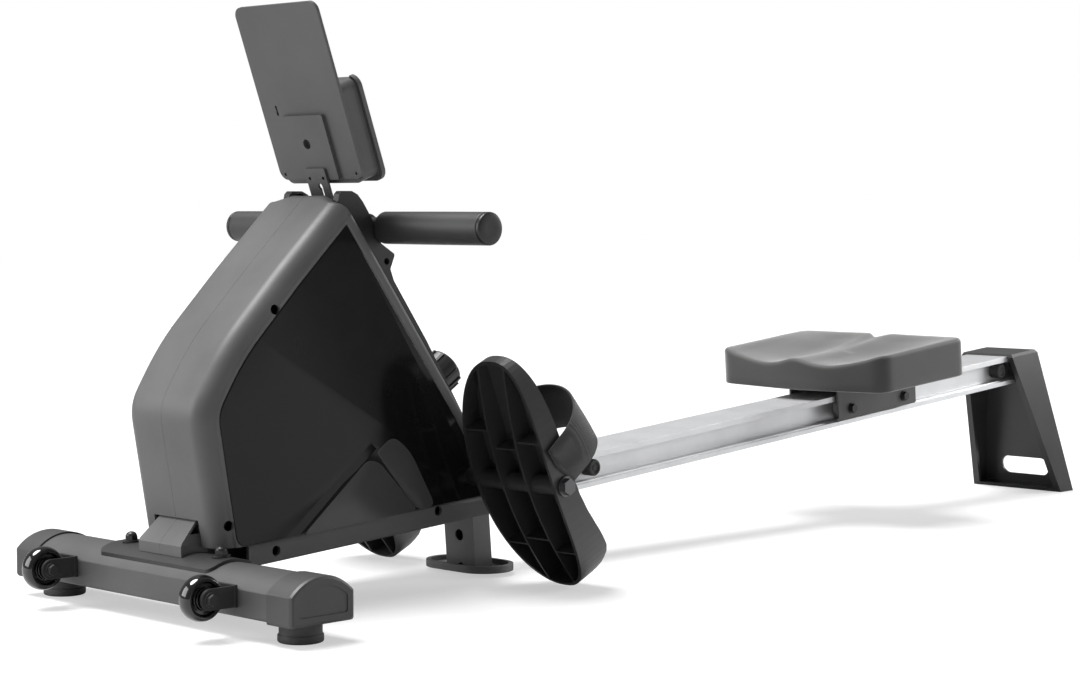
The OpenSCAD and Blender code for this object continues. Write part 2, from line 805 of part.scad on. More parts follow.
// Stadium foot with a raised rim around a shallow tray
module leg_plate() {
  color(black) translate([fx + 454, 0, 0]) difference() {
    translate([0, 0, 5]) linear_extrude(9) stadium(73, 126);
    translate([0, 0, 8]) linear_extrude(9) stadium(61, 114);
  }
}

module stadium(w, l) {
  hull() for (s = [-1, 1]) translate([0, s * (l - w) / 2]) circle(r = w / 2);
}

module hinge_bracket() {
  color(black) along_rail() for (s = [-1, 1]) difference() {
    slab(s > 0 ? beam_half + 0.1 : -beam_half - 4.1, s > 0 ? beam_half + 4.1 : -beam_half - 0.1)
      union() {
        hull() {
          translate([pivot_u, pivot_z]) circle(r = 12.5);
          translate([pivot_u, clamp_z]) circle(r = 11);
          translate([470, beam_lo]) square([10, beam_hi - beam_lo]);
        }
        translate([430, beam_lo]) square([45, beam_hi - beam_lo]);
      }
    rod(pivot_u, pivot_z, 5.1, -60, 60);
    rod(pivot_u, clamp_z, 4.15, -60, 60);
  }
}

// Tongue of the rail that turns in the hinge bracket
module hinge_block() {
  color(steel) along_rail() difference() {
    union() {
      slab(-24.7, 24.7) union() {
        translate([pivot_u, pivot_z]) circle(r = 12);
        translate([pivot_u, -25]) square([24.8, 24]);
        translate([pivot_u + 7, -41]) square([17.8, 40]);
      }
      slab(-17.6, 17.6) translate([pivot_u + 20, -40.6]) square([100, 37.2]);
    }
    rod(pivot_u, pivot_z, 5.1, -60, 60);
    rod(pivot_u, clamp_z, 6.5, -60, 60);
  }
}

module pivot_bolt() {
  color(steel) along_rail() {
    rod(pivot_u, pivot_z, 5, -34, 34);
    rod(pivot_u, pivot_z, 9, -31, -29.3);
    rod(pivot_u, pivot_z, 9, 29.3, 31);
    hex_y(pivot_u, pivot_z, 8, -35.6, -31);
    hex_y(pivot_u, pivot_z, 8, 31, 35.6);
  }
}

// Clamping knob that locks the fold
module fold_knob() {
  color(black) along_rail() {
    rod(pivot_u, clamp_z, 4, -38, 36);
    rod(pivot_u, clamp_z, 7.5, -33, -29.3);
    rod(pivot_u, clamp_z, 9, 29.4, 36);
    translate([pivot_u, 36, clamp_z]) rotate([-90, 0, 0]) linear_extrude(18) union() {
      circle(r = 15);
      for (a = [0 : 60 : 300]) rotate(a) translate([14, 0]) circle(r = 5);
    }
  }
}

// ---------- rail ----------

module rail() {
  h = rail_half;
  b = -rail_h;
  color(silver) along_rail() run(545, 1656) difference() {
    polygon([[-h, 0], [h, 0], [h, -8], [h - 2.5, -8], [h - 2.5, -5.6], [20.5, -5.6],
      [20.5, b + 7.7], [h - 7.7, b + 7.7], [h - 6.9, b + 4.1], [h - 3.5, b + 4.1],
      [h - 2.9, b + 6.5], [h, b + 6.5], [h, b], [-h, b], [-h, b + 6.5], [2.9 - h, b + 6.5],
      [3.5 - h, b + 4.1], [6.9 - h, b + 4.1], [7.7 - h, b + 7.7], [-20.5, b + 7.7],
      [-20.5, -5.6], [2.5 - h, -5.6], [2.5 - h, -8], [-h, -8]]);
    translate([-17.9, b + 3.5]) square([35.8, rail_h - 6.5]);
  }
}

// Rubber end stops inside the rail's side channels
module rail_stops() {
  color(black) along_rail() for (x = [644.5, 1585]) for (s = [-1, 1]) {
    translate([x, 0, -21.2]) rotate([s * 90, 0, 0]) rotate_extrude()
      polygon([[0, 20.55], [11, 20.55], [11, 36], [10, 37.5], [7.5, 38], [6.5, 36], [4, 36],
        [3, 37], [0, 37]]);
  }
}

// Hollow rear stand, open to the front, with a hand slot
module rear_foot() {
  color(black) difference() {
    hull() {
      foot_slice(0, 0.5, 0, 0, 0);
      along_rail() block([1602, -45, 0.4], [1668, 45, 3.4]);
      along_rail() block([1600.6, -48, -2], [1672, 48, -1]);
    }
    hull() {
      foot_slice(-1, 0.5, 7, 4, -4);
      along_rail() block([1606, -44, -2], [1667.5, 44, 0.15]);
    }
    hull() {
      foot_slice(5, 0.5, -60, 12, -24);
      along_rail() block([1560, -39, -2], [1640, 39, 0.15]);
    }
    translate([fx + 1640, 0, 0]) run(0, 120) soft_rect([-44, 21], [44, 49], 13.5);
  }
  color(black) translate([fx, 0, 0]) slab(-79, 79) translate([1688, 0]) square([28, 4]);
}

module foot_slice(z, h, front, side, back) {
  translate([fx, 0, 0]) block([foot_front0 + front, -foot_half0 + side, z],
    [1721 + back, foot_half0 - side, z + h]);
}

// ---------- seat ----------

// Height of the seat's top across its width
function seat_top(y) = 52 + 6 * exp(-pow(y / 24, 2)) + 15 * pow(max(0, abs(y) - 58) / 92, 2);

// Seat outline: a shallow V in front and a notch behind
module seat_outline() {
  offset(r = 18) offset(delta = -18) polygon([[-seat_d / 2, seat_w / 2], [-seat_d / 2 - 18, 0],
    [-seat_d / 2, -seat_w / 2], [seat_d / 2, -seat_w / 2], [seat_d / 2, seat_w / 2]]);
}

module seat_pad() {
  color(black) along_rail() difference() {
    intersection() {
      run(seat_u - seat_d / 2 - 20, seat_u + seat_d / 2) polygon(concat(
        [[seat_w / 2, 14], [-seat_w / 2, 14]],
        [for (i = [-30 : 30]) [i * seat_w / 60, seat_top(i * seat_w / 60)]]));
      translate([seat_u, 0, 0]) linear_extrude(90) difference() {
        seat_outline();
        polygon([[seat_d / 2 + 1, 18], [seat_d / 2 - 15, 0], [seat_d / 2 + 1, -18]]);
      }
    }
    translate([seat_u, 0, 10]) linear_extrude(10.3)
      offset(r = 16) square([seat_d - 78, seat_w - 74], center = true);
  }
}

module seat_base() {
  color(black) along_rail() translate([seat_u, 0, 13.8]) linear_extrude(6.2)
    offset(r = 15) square([seat_d - 80, seat_w - 76], center = true);
}

// Folded steel carriage that straddles the rail
module carriage() {
  color(grey) along_rail() difference() {
    union() {
      translate([car_u - car_half, -45, 10.6]) cube([2 * car_half, 90, 3]);
      for (s = [-1, 1]) {
        slab(s > 0 ? 42 : -45, s > 0 ? 45 : -42) translate([car_u - car_half, -35.5])
          offset(r = 4) offset(delta = -4) square([2 * car_half, 49.1]);
      }
    }
    for (x = [-roller_dx, roller_dx]) rod(car_u + x, roller_z, 4.1, -60, 60);
  }
}

// Axle bolts of the rollers
module roller_bolts() {
  color(black) along_rail() for (x = [-roller_dx, roller_dx]) for (s = [-1, 1]) mirror_y(s > 0) {
    rod(car_u + x, roller_z, 4, -46, -20.9);
    rod(car_u + x, roller_z, 7, -41.9, -31.2);
    rod(car_u + x, roller_z, 8, -46.6, -45.1);
    hex_y(car_u + x, roller_z, 6.5, -51, -46.5);
  }
}

module roller(x, s) {
  color(grey) along_rail() translate([car_u + x, s * 26, roller_z]) rotate([90, 0, 0])
    rotate_extrude($fn = 96) polygon([[4.08, -4.8], [roller_r - 1, -4.8], [roller_r, -3.8],
      [roller_r, 3.8], [roller_r - 1, 4.8], [4.08, 4.8]]);
}

// ---------- nodes ----------

stabiliser_tube();
end_cap(false);  // end_cap_left
end_cap(true);  // end_cap_right
front_feet();
wheel_brackets();
transport_wheel(-wheel_y);  // wheel_left
transport_wheel(wheel_y);  // wheel_right
mount_plate();
mount_bolts();
foot_cover(false);  // foot_cover_left
foot_cover(true);  // foot_cover_right
main_beam();
drive_bracket();
flywheel();
drive_shafts();
freewheel_pulley();
drive_belt();
spool_pulley();
guide_roller();
magnet_arm();
casing(false);  // casing_left
casing(true);  // casing_right
side_panel(false);  // side_panel_left
side_panel(true);  // side_panel_right
rear_spine();
casing_screws();
tension_knob();
console_bracket();
console_back();
console_body();
console_screen();
console_button(-22);  // button_mode
console_button(22);  // button_reset
handle_bar();
grips();
strap_clamp();
pull_strap();
pedal_axle();
pedal(false);  // pedal_left
pedal(true);  // pedal_right
foot_strap(-1);  // foot_strap_left
foot_strap(1);  // foot_strap_right
middle_leg();
leg_plate();
hinge_bracket();
hinge_block();
pivot_bolt();
fold_knob();
rail();
rail_stops();
rear_foot();
seat_pad();
seat_base();
carriage();
roller_bolts();
roller(-roller_dx, -1);  // roller_front_left
roller(-roller_dx, 1);  // roller_front_right
roller(roller_dx, -1);  // roller_rear_left
roller(roller_dx, 1);  // roller_rear_right
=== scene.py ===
import math
import bpy
import bmesh
from mathutils import Matrix, Vector


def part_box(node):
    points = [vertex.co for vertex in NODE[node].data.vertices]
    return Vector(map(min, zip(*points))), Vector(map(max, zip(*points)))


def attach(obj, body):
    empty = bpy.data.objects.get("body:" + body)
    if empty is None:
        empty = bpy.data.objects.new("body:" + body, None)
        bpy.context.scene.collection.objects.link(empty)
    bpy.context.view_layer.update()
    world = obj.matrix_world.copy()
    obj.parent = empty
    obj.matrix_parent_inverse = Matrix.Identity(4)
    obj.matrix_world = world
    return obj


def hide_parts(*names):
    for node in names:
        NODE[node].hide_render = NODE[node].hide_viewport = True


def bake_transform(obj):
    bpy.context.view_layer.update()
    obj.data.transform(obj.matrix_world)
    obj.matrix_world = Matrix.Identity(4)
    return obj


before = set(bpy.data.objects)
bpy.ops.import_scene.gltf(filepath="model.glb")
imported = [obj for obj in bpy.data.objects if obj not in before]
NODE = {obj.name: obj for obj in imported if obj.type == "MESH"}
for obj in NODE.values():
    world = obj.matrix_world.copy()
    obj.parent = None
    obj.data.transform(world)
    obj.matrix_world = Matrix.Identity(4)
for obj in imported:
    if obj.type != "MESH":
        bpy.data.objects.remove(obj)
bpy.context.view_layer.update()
scene = bpy.context.scene

# ---------- shared places and directions ----------

# The drawing frame is in mm: u runs along the machine from near its front, y across it and z up.
FX = -0.808  # x of the drawing frame's zero, in metres
RAIL_Z = 85.8  # height of the rail's top at u = 0
TILT = math.radians(4.8)  # rise of the rail to the rear
LEAN = math.radians(19.9)  # lean of the console


def at(u, y, z):
    """Point of the drawing frame, in metres."""
    return Vector((FX + u / 1000, y / 1000, z / 1000))


def rail_matrix(u):
    """Frame of a place on the rail's top, u mm along it: X along the rail, Z off its top."""
    c, s = math.cos(TILT), math.sin(TILT)
    return Matrix.Translation(at(u * c, 0, RAIL_Z + u * s)) @ Matrix.Rotation(-TILT, 4, "Y")


# ---------- camera ----------

CAMERA_AT = (-2.382, -2.1249, 0.4583)
CAMERA_HEADING = math.radians(45.39)  # from straight across the machine, to its rear
CAMERA_DIP = math.radians(3.274)


def make_camera():
    """Camera of the photograph's view."""
    cam = bpy.data.cameras.new("camera")
    cam.lens = 78.49
    cam.sensor_width = 36.0
    cam.clip_end = 60.0
    ob = bpy.data.objects.new("camera", cam)
    scene.collection.objects.link(ob)
    level = math.cos(CAMERA_DIP)
    look = Vector((level * math.sin(CAMERA_HEADING), level * math.cos(CAMERA_HEADING),
                   -math.sin(CAMERA_DIP)))
    ob.location = CAMERA_AT
    ob.rotation_mode = "QUATERNION"
    ob.rotation_quaternion = look.to_track_quat("-Z", "Y")
    scene.camera = ob


make_camera()

# ---------- materials ----------

MATS = {}  # name to material


class Nodes:
    """Small helper round one material's node tree."""

    def __init__(self, name):
        self.mat = bpy.data.materials.new(name)
        self.mat.use_nodes = True
        self.tree = self.mat.node_tree
        self.bsdf = self.tree.nodes["Principled BSDF"]
        self.coord = self.tree.nodes.new("ShaderNodeTexCoord")
        MATS[name] = self.mat

    def new(self, kind, **props):
        n = self.tree.nodes.new(kind)
        for k, v in props.items():
            setattr(n, k, v)
        return n

    def link(self, a, b):
        self.tree.links.new(a, b)

    def noise(self, scale, detail=4.0, rough=0.55, stretch=(1, 1, 1)):
        m = self.new("ShaderNodeMapping")
        m.inputs["Scale"].default_value = stretch
        self.link(self.coord.outputs["Object"], m.inputs["Vector"])
        n = self.new("ShaderNodeTexNoise")
        n.inputs["Scale"].default_value = scale
        n.inputs["Detail"].default_value = detail
        n.inputs["Roughness"].default_value = rough
        self.link(m.outputs["Vector"], n.inputs["Vector"])
        return n.outputs["Fac"]

    def ramp(self, fac, lo, hi, p0=0.3, p1=0.7):
        r = self.new("ShaderNodeValToRGB")
        r.color_ramp.elements[0].position = p0
        r.color_ramp.elements[1].position = p1
        r.color_ramp.elements[0].color = (*lo, 1)
        r.color_ramp.elements[1].color = (*hi, 1)
        self.link(fac, r.inputs["Fac"])
        return r.outputs["Color"]

    def range(self, fac, lo, hi):
        r = self.new("ShaderNodeMapRange")
        r.inputs["To Min"].default_value = lo
        r.inputs["To Max"].default_value = hi
        self.link(fac, r.inputs["Value"])
        return r.outputs["Result"]

    def bump(self, height, strength, distance):
        b = self.new("ShaderNodeBump")
        b.inputs["Strength"].default_value = strength
        b.inputs["Distance"].default_value = distance
        self.link(height, b.inputs["Height"])
        self.link(b.outputs["Normal"], self.bsdf.inputs["Normal"])


def plastic(name, base, rough, grain=1400, bump=0.15, spread=0.12, coat=0.0, spec=0.5):
    """Moulded or coated surface: soft colour drift, fine grain, uneven gloss."""
    n = Nodes(name)
    lo = [c * (1 - spread) for c in base]
    hi = [c * (1 + spread) for c in base]
    n.link(n.ramp(n.noise(9, 5), lo, hi), n.bsdf.inputs["Base Color"])
    n.link(n.range(n.noise(35, 6, 0.6), rough - 0.05, rough + 0.06), n.bsdf.inputs["Roughness"])
    if bump:
        n.bump(n.noise(grain, 2, 0.5), bump, 0.0004)
    n.bsdf.inputs["Specular IOR Level"].default_value = spec
    if coat:
        n.bsdf.inputs["Coat Weight"].default_value = coat
        n.bsdf.inputs["Coat Roughness"].default_value = 0.06
    return n


def metal(name, base, rough, stretch=(1, 1, 1), bump=0.1, scale=400, spread=0.06):
    """Metal with uneven gloss: the stretch draws its grain out along one direction."""
    n = Nodes(name)
    lo = [c * (1 - spread) for c in base]
    hi = [min(1, c * (1 + spread)) for c in base]
    fine = n.noise(scale, 3, 0.6, stretch)
    n.link(n.ramp(n.noise(14, 4), lo, hi), n.bsdf.inputs["Base Color"])
    n.link(n.range(fine, rough - 0.07, rough + 0.08), n.bsdf.inputs["Roughness"])
    n.bsdf.inputs["Metallic"].default_value = 1.0
    n.bump(fine, bump, 0.0002)


def webbing(name, base, across, along):
    """Woven strap: fine ribs one way, cross threads the other."""
    n = Nodes(name)
    waves = []
    for direction, size in (across, along):
        w = n.new("ShaderNodeTexWave", wave_type="BANDS", bands_direction=direction)
        w.inputs["Scale"].default_value = size
        w.inputs["Distortion"].default_value = 0.6
        w.inputs["Detail"].default_value = 1.0
        n.link(n.coord.outputs["Object"], w.inputs["Vector"])
        waves.append(w.outputs["Fac"])
    mix = n.new("ShaderNodeMath", operation="MULTIPLY")
    n.link(waves[0], mix.inputs[0])
    n.link(waves[1], mix.inputs[1])
    n.link(n.ramp(mix.outputs[0], [c * 0.6 for c in base], [c * 1.5 for c in base], 0.1, 0.9),
           n.bsdf.inputs["Base Color"])
    n.bsdf.inputs["Roughness"].default_value = 0.85
    n.bsdf.inputs["Sheen Weight"].default_value = 0.25
    n.bsdf.inputs["Sheen Roughness"].default_value = 0.5
    n.bump(mix.outputs[0], 0.5, 0.0006)


plastic("casing", (0.115, 0.115, 0.117), 0.42, grain=1600, bump=0.12, spec=0.4)
plastic("gloss_panel", (0.008, 0.008, 0.009), 0.12, bump=0.02, grain=300, spec=0.28)
plastic("gloss_facet", (0.075, 0.075, 0.077), 0.20, bump=0.02, grain=300, spec=0.4)
plastic("lcd", (0.20, 0.235, 0.20), 0.30, bump=0.02, grain=300, coat=0.8, spread=0.03)
plastic("lcd_ink", (0.012, 0.013, 0.012), 0.5, bump=0.0)
plastic("powder", (0.085, 0.085, 0.087), 0.42, grain=1100, bump=0.25, spec=0.45)
# Same powder coat as the stabiliser and beam, made lighter: painted light against the shade the
# casing casts on the leg.
plastic("powder_lightened_for_shade", (0.13, 0.13, 0.132), 0.42, grain=1100, bump=0.25, spec=0.45)
plastic("black_coat", (0.030, 0.030, 0.031), 0.40, grain=1100, bump=0.2, spec=0.45)
plastic("spine_black", (0.022, 0.022, 0.023), 0.34, grain=1600, bump=0.12, spec=0.5)
plastic("cap_plastic", (0.062, 0.062, 0.063), 0.42, grain=1500, bump=0.15, spec=0.4)
plastic("foot_rubber", (0.080, 0.080, 0.081), 0.55, grain=900, bump=0.15, spec=0.4)
plastic("foot_plastic", (0.038, 0.038, 0.039), 0.30, grain=1500, bump=0.15, spec=0.5)
plastic("black_moulded", (0.018, 0.018, 0.019), 0.36, grain=1500, bump=0.15, spec=0.5)
plastic("pedal_plastic", (0.036, 0.036, 0.036), 0.30, grain=1300, bump=0.12, spec=0.6)
plastic("console_plastic", (0.088, 0.088, 0.09), 0.48, grain=1700, bump=0.2, spec=0.4)
plastic("rubber", (0.040, 0.040, 0.041), 0.60, grain=900, bump=0.2, spec=0.4)
plastic("gloss_tyre", (0.005, 0.005, 0.005), 0.12, grain=200, bump=0.02, coat=0.8)
plastic("foam", (0.047, 0.047, 0.048), 0.42, grain=2200, bump=0.35, spec=0.4)
skin = plastic("seat_skin", (0.048, 0.0475, 0.0468), 0.58, grain=2400, bump=0.3, spec=0.35)
skin.bsdf.inputs["Sheen Weight"].default_value = 1.0
skin.bsdf.inputs["Sheen Roughness"].default_value = 0.4
plastic("roller", (0.16, 0.16, 0.16), 0.5)
plastic("black_metal", (0.020, 0.020, 0.021), 0.35, grain=700, bump=0.1)
metal("zinc", (0.42, 0.42, 0.43), 0.32)
metal("dark_zinc", (0.16, 0.16, 0.165), 0.34)
metal("cast_iron", (0.30, 0.30, 0.31), 0.45, bump=0.3)
metal("aluminium", (0.76, 0.765, 0.775), 0.48, stretch=(0.02, 1, 1), scale=900)
webbing("webbing", (0.035, 0.035, 0.036), ("X", 380), ("Y", 260))

ASSIGN = {
    "casing": ("foot_cover_left", "foot_cover_right", "casing_left", "casing_right"),
    "cap_plastic": ("end_cap_left", "end_cap_right"),
    "spine_black": ("rear_spine",),
    "black_coat": ("wheel_brackets", "mount_plate"),
    "gloss_panel": ("side_panel_left", "side_panel_right"),
    "powder": ("stabiliser_tube", "main_beam", "drive_bracket", "hinge_bracket",
               "console_bracket", "carriage"),
    # The leg and its plate get the lightened copy of the powder coat, which is painted light.
    "powder_lightened_for_shade": ("middle_leg", "leg_plate"),
    "console_plastic": ("console_back", "console_body"),
    "foot_plastic": ("rear_foot",),
    "black_moulded": ("tension_knob", "fold_knob", "seat_base", "strap_clamp",
                      "button_mode", "button_reset", "guide_roller", "spool_pulley",
                      "freewheel_pulley"),
    "pedal_plastic": ("pedal_left", "pedal_right"),
    "rubber": ("rail_stops", "drive_belt"),
    "foot_rubber": ("front_feet",),
    "gloss_tyre": ("wheel_left", "wheel_right"),
    "foam": ("grips",),
    "seat_skin": ("seat_pad",),
    "webbing": ("foot_strap_left", "foot_strap_right", "pull_strap"),
    "dark_zinc": ("pedal_axle",),
    "zinc": ("drive_shafts", "pivot_bolt", "hinge_block", "magnet_arm"),
    "cast_iron": ("flywheel",),
    "aluminium": ("rail",),
    "black_metal": ("casing_screws", "roller_bolts", "handle_bar", "mount_bolts"),
    "roller": ("roller_front_left", "roller_front_right", "roller_rear_left",
               "roller_rear_right"),
    "lcd": ("console_screen",),
}


# Widths of the rounding on the CAD nodes' edges, in metres.
NODE_EDGE = 0.0005
PEDAL_EDGE = 0.0012


def dress(name, width):
    """Merges a CAD node's flat faces and rounds its edges a little, without touching its mesh."""
    ob = NODE[name]
    w = ob.modifiers.new("weld", "WELD")
    w.merge_threshold = 2e-6
    d = ob.modifiers.new("flat", "DECIMATE")
    d.decimate_type = "DISSOLVE"
    d.angle_limit = math.radians(0.6)
    b = ob.modifiers.new("edge", "BEVEL")
    b.width = width
    b.segments = 2
    b.limit_method = "ANGLE"
    b.angle_limit = math.radians(28)
    b.miter_outer = "MITER_ARC"
    n = ob.modifiers.new("normals", "WEIGHTED_NORMAL")
    n.mode = "FACE_AREA"
    n.weight = 60
    n.keep_sharp = True


for material, names in ASSIGN.items():
    for name in names:
        NODE[name].data.materials.clear()
        NODE[name].data.materials.append(MATS[material])
        dress(name, PEDAL_EDGE if material == "pedal_plastic" else NODE_EDGE)

# ---------- mesh helpers ----------

def make(name, verts, faces, mat, body, smooth=True):
    """New piece with one material; its body is left for later where it is None."""
    me = bpy.data.meshes.new(name)
    me.from_pydata([tuple(v) for v in verts], [], faces)
    me.validate()
    me.update()
    bm = bmesh.new()
    bm.from_mesh(me)
    bmesh.ops.remove_doubles(bm, verts=bm.verts, dist=1e-6)
    bmesh.ops.recalc_face_normals(bm, faces=bm.faces)
    bm.to_mesh(me)
    bm.free()
    me.materials.append(MATS[mat])
    if smooth:
        me.shade_smooth()
    ob = bpy.data.objects.new(name, me)
    scene.collection.objects.link(ob)
    if body:
        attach(ob, body)
    return ob


def loft(rings, cap_start=False, cap_end=False):
    """Vertices and faces of closed rings of equal length, joined in order."""
    n = len(rings[0])
    verts = [p for r in rings for p in r]
    faces = []
    for k in range(len(rings) - 1):
        for i in range(n):
            j = (i + 1) % n
            faces.append((k * n + i, k * n + j, (k + 1) * n + j, (k + 1) * n + i))
    if cap_start:
        faces.append(tuple(range(n - 1, -1, -1)))
    if cap_end:
        faces.append(tuple(range((len(rings) - 1) * n, len(rings) * n)))
    return verts, faces


def apply_mods(ob):
    """Replaces a piece's mesh with the one that its modifiers give."""
    dg = bpy.context.evaluated_depsgraph_get()
    me = bpy.data.meshes.new_from_object(ob.evaluated_get(dg))
    old = ob.data
    ob.modifiers.clear()
    ob.data = me
    bpy.data.meshes.remove(old)


def cut(ob, cutters):
    """Takes the cutters' solids out of a piece and removes them."""
    for c in cutters:
        m = ob.modifiers.new("cut", "BOOLEAN")
        m.operation = "DIFFERENCE"
        m.solver = "EXACT"
        m.object = c
    apply_mods(ob)
    for c in cutters:
        bpy.data.objects.remove(c)


def cutter(points, side, y0, y1):
    """Prism over (u, z) points between two distances from the middle, on one side of it."""
    near, far = sorted((side * y0, side * y1))
    a = [at(u, near, z) for u, z in points]
    b = [at(u, far, z) for u, z in points]
    v, f = loft([a, b], cap_start=True, cap_end=True)
    return make("cutter", v, f, "casing", None, smooth=False)


def box_points(u0, u1, z0, z1):
    return [(u0, z0), (u1, z0), (u1, z1), (u0, z1)]


def disc(u, z, r, count=40):
    turns = [2 * math.pi * i / count for i in range(count)]
    return [(u + r * math.cos(a), z + r * math.sin(a)) for a in turns]


def arc_corner(corner, start, end, per):
    """Points of a smooth corner from start to end, drawn towards the corner's own point."""
    steps = [j / (per - 1) for j in range(per)]
    return [start * (1 - t) ** 2 + corner * 2 * t * (1 - t) + end * t * t for t in steps]


def rounded(points, radii, per=6):
    """Closed polygon with each corner rounded to about its own radius."""
    out = []
    n = len(points)
    for i in range(n):
        a, b, c = Vector(points[i - 1]), Vector(points[i]), Vector(points[(i + 1) % n])
        u, w = a - b, c - b
        k = min(radii[i], 0.45 * u.length, 0.45 * w.length)
        out += arc_corner(b, b + u.normalized() * k, b + w.normalized() * k, per)
    return out


def smooth(t):
    """Step from 0 to 1 that is level at both ends."""
    t = max(0.0, min(1.0, t))
    return t * t * (3 - 2 * t)


def side_word(side):
    return "left" if side < 0 else "right"


# ---------- casing ----------

# Side view of the casing: up the front, over the top, down the rear and back along the bottom.
OUTLINE = [(11, 54), (-20.5, 236), (22, 305), (104, 388), (190, 470), (207, 470), (374, 211),
           (418, 143), (430, 98), (424, 82)]
# Kind of the edge that starts at each corner: front, top, rear, corner cut or bottom.
KIND = "FFFFTRRRCB"
FILLET = [30, 55, 330, 60, 14, 12, 60, 40, 12, 10]
# Outside this half width the top edge is lower and shorter.
SHOULDER = 49
SIDE_OUTLINE = OUTLINE[:4] + [(183, 463.3), (190, 463.3)] + OUTLINE[6:]
# The two short edges' limits. Moving the edge before it or after it in by 1 mm shortens a short edge
# by the first two values, 1 over the sine of the turn at that end. The third is its length, less
# about half a millimetre. Moving it in by 1 mm lengthens it by the last, the turns' cotangents.
TOP_LIMIT = (1.45, 1.19, 16.5, 1.694)
SIDE_TOP_LIMIT = (1.45, 1.237, 6.6, 1.778)
CORNER_LIMIT = (1.721, 1.098, 16.6, 1.856)

# Half widths: the seam's gap, the main beam, the rear spine, the flat side's end, the inner face of
# the side wall, the ledge that the panel sits on and the raised bead round it.
SEAM, BEAM, SPINE, FLAT_END, INSIDE, LEDGE, BEAD = 0.15, 26.6, 50.4, 69.5, 67.6, 70.45, 72
WALL = 2.8
EDGE_X, EDGE_Y = 23, 21.3  # depth and width of the rounding along the front
SCREWS = ((88, 342.5), (21, 106), (86, 72), (334, 94))
AXLE = (388, 132)


def least_inset(limit, before, after):
    """Inset that keeps a short edge from vanishing while its neighbours move in by their own."""
    lost_before, lost_after, room, gain = limit
    return (lost_before * before + lost_after * after - room) / gain


def full_row(front, rear, bottom):
    """Row of insets and half widths, with the two short edges' insets worked out."""
    row = {"F": front, "R": rear, "B": bottom}
    f, r, b = front[0], rear[0], bottom[0]
    top_limit = TOP_LIMIT if front[1] < SHOULDER else SIDE_TOP_LIMIT
    row["T"] = (max(0.5 * f, least_inset(top_limit, f, r)), front[1])
    row["C"] = (max(0.9 * r, least_inset(CORNER_LIMIT, r, b)), rear[1])
    return row


def outer_rows():
    """Inset and half width of the casing's outside for each kind of edge, seam to panel."""
    start = [(0, SEAM), (0, BEAM)]
    angles = [math.radians(t) for t in range(0, 76, 7)]
    edge = [(EDGE_X * (1 - math.cos(t)), SHOULDER + EDGE_Y * math.sin(t)) for t in angles]
    flat = [(0, SPINE + (FLAT_END - SPINE) * i / 10) for i in range(11)]
    front = start + edge + [
        (20.0, 69.95), (21.4, 70.3), (22.2, 71.1), (23.0, 71.8), (23.9, BEAD), (24.7, 71.7),
        (25.2, 71.0), (25.4, LEDGE), (27.0, LEDGE)]
    rear = start + flat + [
        (0.5, 70.7), (1.4, 71.5), (2.6, 71.95), (5, BEAD), (10, BEAD), (12.4, 71.9),
        (12.9, 71.3), (13.0, LEDGE), (14.6, LEDGE)]
    bottom = start + flat + [
        (0.4, 70.9), (1.1, 71.6), (2.2, BEAD), (8, BEAD), (18, BEAD), (23.6, 71.9),
        (24.2, 71.3), (24.3, LEDGE), (26.0, LEDGE)]
    return [full_row(*row) for row in zip(front, rear, bottom)]


def inner_rows():
    """The same for the inside of the wall, panel back to seam."""
    angles = [math.radians(t) for t in range(90, -1, -15)]
    edge = [(WALL + (EDGE_X - WALL) * (1 - math.cos(t)),
             SHOULDER + (INSIDE - SHOULDER) * math.sin(t)) for t in angles]
    tail = [(WALL, y) for y in (66.5, 63, 59, 55, SPINE, BEAM, SEAM)]
    front = [(27.0, INSIDE)] + edge + tail[-2:]
    rear = [(x, INSIDE) for x in (14.6, 10, 5)] + tail
    bottom = [(x, INSIDE) for x in (26.0, 18, 9)] + tail
    return [full_row(*row) for row in zip(front, rear, bottom)]


def ring(row, per=7):
    """Filleted outline with each edge moved in by its own amount, as (u, y, z) points."""
    outline = OUTLINE if row["F"][1] < SHOULDER else SIDE_OUTLINE
    n = len(outline)
    lines = []
    for i in range(n):
        a, b = Vector(outline[i]), Vector(outline[(i + 1) % n])
        d = (b - a).normalized()
        lines.append((a + Vector((d.y, -d.x)) * row[KIND[i]][0], d))
    corners = []
    for i in range(n):
        (p0, d0), (p1, d1) = lines[i - 1], lines[i]
        w = p1 - p0
        s = (w.x * d1.y - w.y * d1.x) / (d0.x * d1.y - d0.y * d1.x)
        corners.append(p0 + d0 * s)
    pts = []
    for i in range(n):
        corner, d0, d1 = corners[i], lines[i - 1][1], lines[i][1]
        inset, y1 = row[KIND[i]]
        y0 = row[KIND[i - 1]][1]
        half_turn = math.acos(max(-1, min(1, d0.dot(d1)))) / 2
        r = max(2.5, FILLET[i] - 0.6 * inset)
        room = min((corner - corners[i - 1]).length, (corner - corners[(i + 1) % n]).length)
        reach = min(r * math.tan(half_turn), 0.47 * room)
        for j, q in enumerate(arc_corner(corner, corner - d0 * reach, corner + d1 * reach, per)):
            t = j / (per - 1)
            pts.append((q.x, y0 + (y1 - y0) * t, q.y))
    return pts


